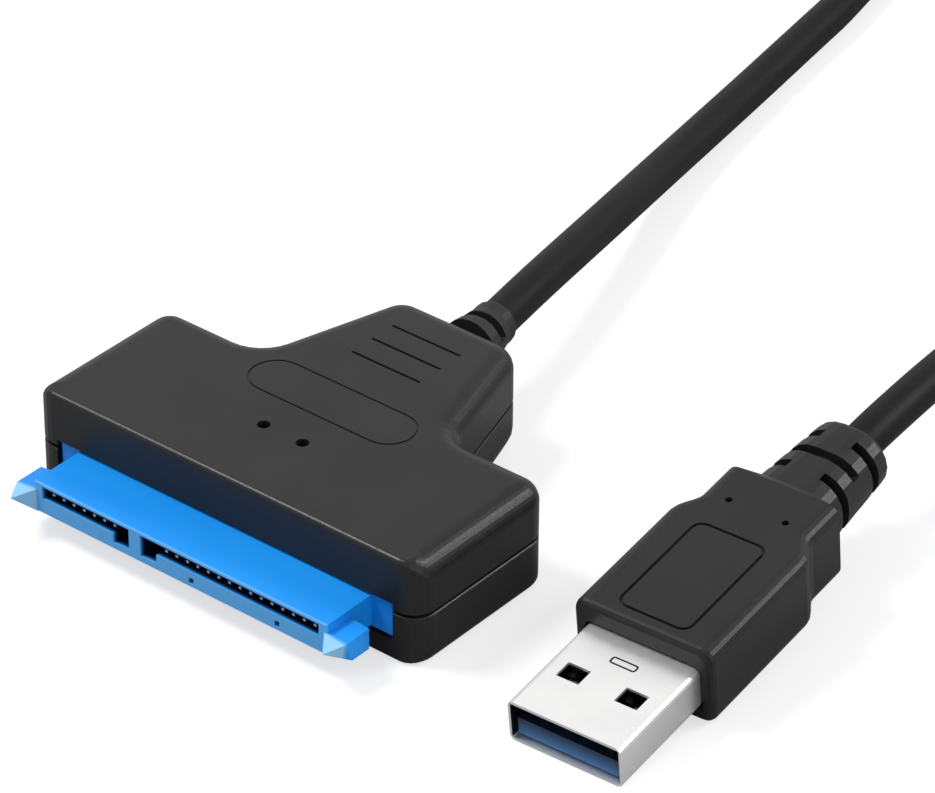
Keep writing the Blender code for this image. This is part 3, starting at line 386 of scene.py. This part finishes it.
def blue_moulding():
    """The receptacle's blue moulding: faint flow marks, painted shade in its slots and painted light on its
    paler front.
    """
    sheet = Sheet("blue_moulding")
    flow = sheet.noise(size=0.006, vector=sheet.stretched((0.35, 1.0, 1.0)))
    fine = sheet.noise(size=0.0003)
    shown = sheet.mottled(flow, dark=(0.006, 0.265, 0.82), light=(0.012, 0.305, 0.90))
    # Painted shade: the slots' insides, behind the front face, are darkened to navy in the colour.
    inside = sheet.product(
        sheet.within(sheet.place, "X", -SLOT_INSIDE_X, SLOT_INSIDE_X, SLOT_EDGE),
        sheet.within(sheet.place, "Z", *SLOT_INSIDE_Z, SLOT_EDGE),
    )
    deep_shade = sheet.within(sheet.place, "Y", HEAD_Y + SLOT_DARK_FROM, SLOT_DARK_TO, SLOT_DARK_SOFT)
    # Painted light: the front face and the wing tips before it are made paler, as if lit from the front.
    face_end = HEAD_Y + 2 * FRONT_FACE_SOFT
    at_front = sheet.within(sheet.place, "Y", BEFORE_WINGS, face_end, FRONT_FACE_SOFT)
    shown = sheet.toward(at_front, shown, FRONT_FACE_PAINTED_LIGHT_BLUE)
    beyond = sheet.within(sheet.place, "Y", BEFORE_WINGS, HEAD_Y, FRONT_FACE_SOFT)
    shown = sheet.toward(beyond, shown, WING_TIP_PAINTED_LIGHT_BLUE)
    sheet.color(sheet.toward(sheet.product(inside, deep_shade), shown, SLOT_PAINTED_SHADE_BLUE))
    sheet.roughness(fine, low=0.32, high=0.42)
    sheet.bump(fine, height=0.000004, strength=0.5)
    sheet.constant(Specular_IOR_Level=0.3)
    return sheet.material


def tongue_blue():
    """The plug's darker blue core, in shade towards its top."""
    sheet = Sheet("tongue_blue")
    flow = sheet.noise(size=0.003)
    fine = sheet.noise(size=0.0003)
    lit = sheet.mottled(flow, dark=(0.014, 0.140, 0.38), light=(0.020, 0.160, 0.43))
    rise = sheet.along(sheet.plug_place(), "Z")
    shade = sheet.spread(rise, 0.0, 1.0, CORE_LIT_TO, CORE_DARK_FROM)
    sheet.color(sheet.toward(shade, lit, CORE_DARK_BLUE))
    sheet.roughness(fine, low=0.34, high=0.44)
    sheet.bump(fine, height=0.000004, strength=0.5)
    return sheet.material


def nickel():
    """The plug's shell: bright nickel, faintly cloudy and drawn lengthways, with painted shade inside it
    and in the tab's groove.
    """
    sheet = Sheet("nickel")
    drawn = sheet.noise(size=0.0010, vector=sheet.stretched((2.5, 0.6, 2.5)))
    clouds = sheet.noise(size=0.004)
    shown = sheet.mottled(clouds, dark=(0.84, 0.84, 0.84), light=(0.89, 0.89, 0.88))
    plug_place = sheet.plug_place()
    inside = sheet.product(
        sheet.within(plug_place, "X", -SHELL_INSIDE_X, SHELL_INSIDE_X, SHELL_EDGE),
        sheet.within(plug_place, "Z", *SHELL_INSIDE_Z, SHELL_EDGE),
    )
    groove = sheet.product(
        sheet.within(plug_place, "X", -LANCE_X, LANCE_X, SHELL_EDGE),
        sheet.within(plug_place, "Y", *LANCE_Y, SHELL_EDGE),
    )
    groove = sheet.product(groove, sheet.within(plug_place, "Z", *LANCE_Z, SHELL_EDGE))
    # Painted shade: the tab's groove and the shell's inside are given dark greys in the colour.
    shown = sheet.toward(groove, shown, LANCE_GROOVE_SHADE_GREY)
    sheet.color(sheet.toward(inside, shown, SHELL_INSIDE_SHADE_GREY))
    sheet.roughness(drawn, low=0.30, high=0.35)
    sheet.bump(drawn, height=0.0000005, strength=0.15)
    sheet.constant(Metallic=0.8)
    return sheet.material


def gold():
    """Thin gold on the contacts, rubbed a little where they slide."""
    sheet = Sheet("gold")
    rubbed = sheet.noise(size=0.0006, detail=3.0, vector=sheet.stretched((4.0, 0.5, 1.0)))
    sheet.color(sheet.mottled(rubbed, dark=(0.78, 0.72, 0.58), light=(0.84, 0.80, 0.70)))
    sheet.roughness(rubbed, low=0.22, high=0.36)
    sheet.bump(rubbed, height=0.000002, strength=0.4)
    sheet.constant(Metallic=1.0)
    return sheet.material


def solder_resist():
    """The board's green lacquer, with the weave below showing faintly."""
    sheet = Sheet("solder_resist")
    weave = sheet.noise(size=0.0006, detail=1.0, vector=sheet.stretched((1.0, 1.0, 0.2)))
    sheet.color(sheet.mottled(weave, dark=(0.018, 0.12, 0.05), light=(0.030, 0.17, 0.075)))
    sheet.roughness(weave, low=0.28, high=0.42)
    sheet.bump(weave, height=0.000008, strength=0.4)
    return sheet.material


def chip_resin():
    """The chips' black moulded resin."""
    sheet = Sheet("chip_resin")
    grain = sheet.noise(size=0.00012)
    sheet.color(sheet.mottled(grain, dark=(0.022, 0.022, 0.023), light=(0.035, 0.035, 0.035)))
    sheet.roughness(grain, low=0.5, high=0.7)
    sheet.bump(grain, height=0.000008, strength=0.5)
    return sheet.material


def capacitor_ceramic():
    """The capacitors' tan body."""
    sheet = Sheet("capacitor_ceramic")
    grain = sheet.noise(size=0.0003, detail=3.0)
    sheet.color(sheet.mottled(grain, dark=(0.36, 0.27, 0.17), light=(0.46, 0.36, 0.24)))
    sheet.roughness(grain, low=0.4, high=0.55)
    sheet.bump(grain, height=0.000006, strength=0.5)
    return sheet.material


def smoked_lens():
    """The lights' resin, unlit."""
    sheet = Sheet("smoked_lens")
    cloud = sheet.noise(size=0.0004)
    sheet.color(sheet.mottled(cloud, dark=(0.30, 0.30, 0.28), light=(0.42, 0.42, 0.38)))
    sheet.roughness(cloud, low=0.12, high=0.22)
    sheet.bump(cloud, height=0.000004, strength=0.3)
    return sheet.material


def dress(surface, *starts):
    """Gives one material to every shown node whose name has one of these beginnings."""
    for name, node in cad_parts.items():
        if name.startswith(starts):
            node.data.materials.clear()
            node.data.materials.append(surface)


def dress_nodes():
    dress(grained_plastic(), "upper_shell", "lower_shell", "usb_plug_grip")
    dress(blue_moulding(), "sata_receptacle_body")
    dress(tongue_blue(), "usb_insulator")
    dress(nickel(), "usb_shell", "crystal")
    dress(gold(), "signal_contact", "power_contact", "usb_contact", "usb_fast_contact")
    dress(boot_rubber(), "head_strain_relief", "power_wire", "ground_wire", "transmit_wire", "receive_wire")
    dress(solder_resist(), "circuit_board")
    dress(chip_resin(), "bridge_chip", "flash_chip", "power_inductor")
    dress(capacitor_ceramic(), "input_capacitor", "output_capacitor")
    dress(smoked_lens(), "power_led", "activity_led")


def make_floor():
    """A grey floor that keeps the object's shadow; what the camera sees of it is lifted to white."""
    mesh = bpy.data.meshes.new("floor")
    half = FLOOR_SIZE / 2
    corners = [(-half, -half, 0), (half, -half, 0), (half, half, 0), (-half, half, 0)]
    mesh.from_pydata(corners, [], [(0, 1, 2, 3)])
    floor = linked("floor", mesh)
    material = bpy.data.materials.new("floor_white")
    material.use_nodes = True
    tree = material.node_tree
    tree.nodes.clear()
    matte = tree.nodes.new("ShaderNodeBsdfDiffuse")
    matte.inputs["Color"].default_value = (FLOOR_COLOR, FLOOR_COLOR, FLOOR_COLOR, 1.0)
    glow = tree.nodes.new("ShaderNodeEmission")
    path = tree.nodes.new("ShaderNodeLightPath")
    lift = tree.nodes.new("ShaderNodeMath")
    lift.operation = "MULTIPLY"
    lift.inputs[1].default_value = FLOOR_LIFT
    both = tree.nodes.new("ShaderNodeAddShader")
    out = tree.nodes.new("ShaderNodeOutputMaterial")
    tree.links.new(path.outputs["Is Camera Ray"], lift.inputs[0])
    tree.links.new(lift.outputs["Value"], glow.inputs["Strength"])
    tree.links.new(matte.outputs["BSDF"], both.inputs[0])
    tree.links.new(glow.outputs["Emission"], both.inputs[1])
    tree.links.new(both.outputs["Shader"], out.inputs["Surface"])
    mesh.materials.append(material)


def make_world():
    """White where the camera sees it, and a plainer level for mirror images and matte surfaces."""
    world = bpy.data.worlds.new("studio")
    bpy.context.scene.world = world
    world.use_nodes = True
    tree = world.node_tree
    background = tree.nodes["Background"]
    path = tree.nodes.new("ShaderNodeLightPath")
    levels = (
        ("Is Glossy Ray", WORLD_MIRRORED),
        ("Is Transmission Ray", WORLD_SEEN),
        ("Is Camera Ray", WORLD_SEEN),
    )
    level = None
    for ray, strength in levels:
        mix = tree.nodes.new("ShaderNodeMix")
        tree.links.new(path.outputs[ray], mix.inputs["Factor"])
        mix.inputs[NUMBER_A].default_value = WORLD_LIGHT
        mix.inputs[NUMBER_B].default_value = strength
        if level:
            tree.links.new(level, mix.inputs[NUMBER_A])
        level = mix.outputs[NUMBER_RESULT]
    tree.links.new(level, background.inputs["Strength"])
    background.inputs["Color"].default_value = (1.0, 1.0, 1.0, 1.0)


def make_lamp(name, place, size, watts):
    """A round soft lamp that faces the object."""
    data = bpy.data.lights.new(name, "AREA")
    data.shape = "DISK"
    data.size = size
    data.energy = watts
    lamp = linked(name, data)
    lamp.location = place
    lamp.rotation_euler = (LOOK_AT - lamp.location).to_track_quat("-Z", "Y").to_euler()


def make_studio():
    make_floor()
    make_world()
    for name, place, size, watts in LAMPS:
        make_lamp(name, place, size, watts)


make_camera()
make_lead()
dress_nodes()
make_studio()
bpy.context.scene.view_settings.view_transform = "Standard"
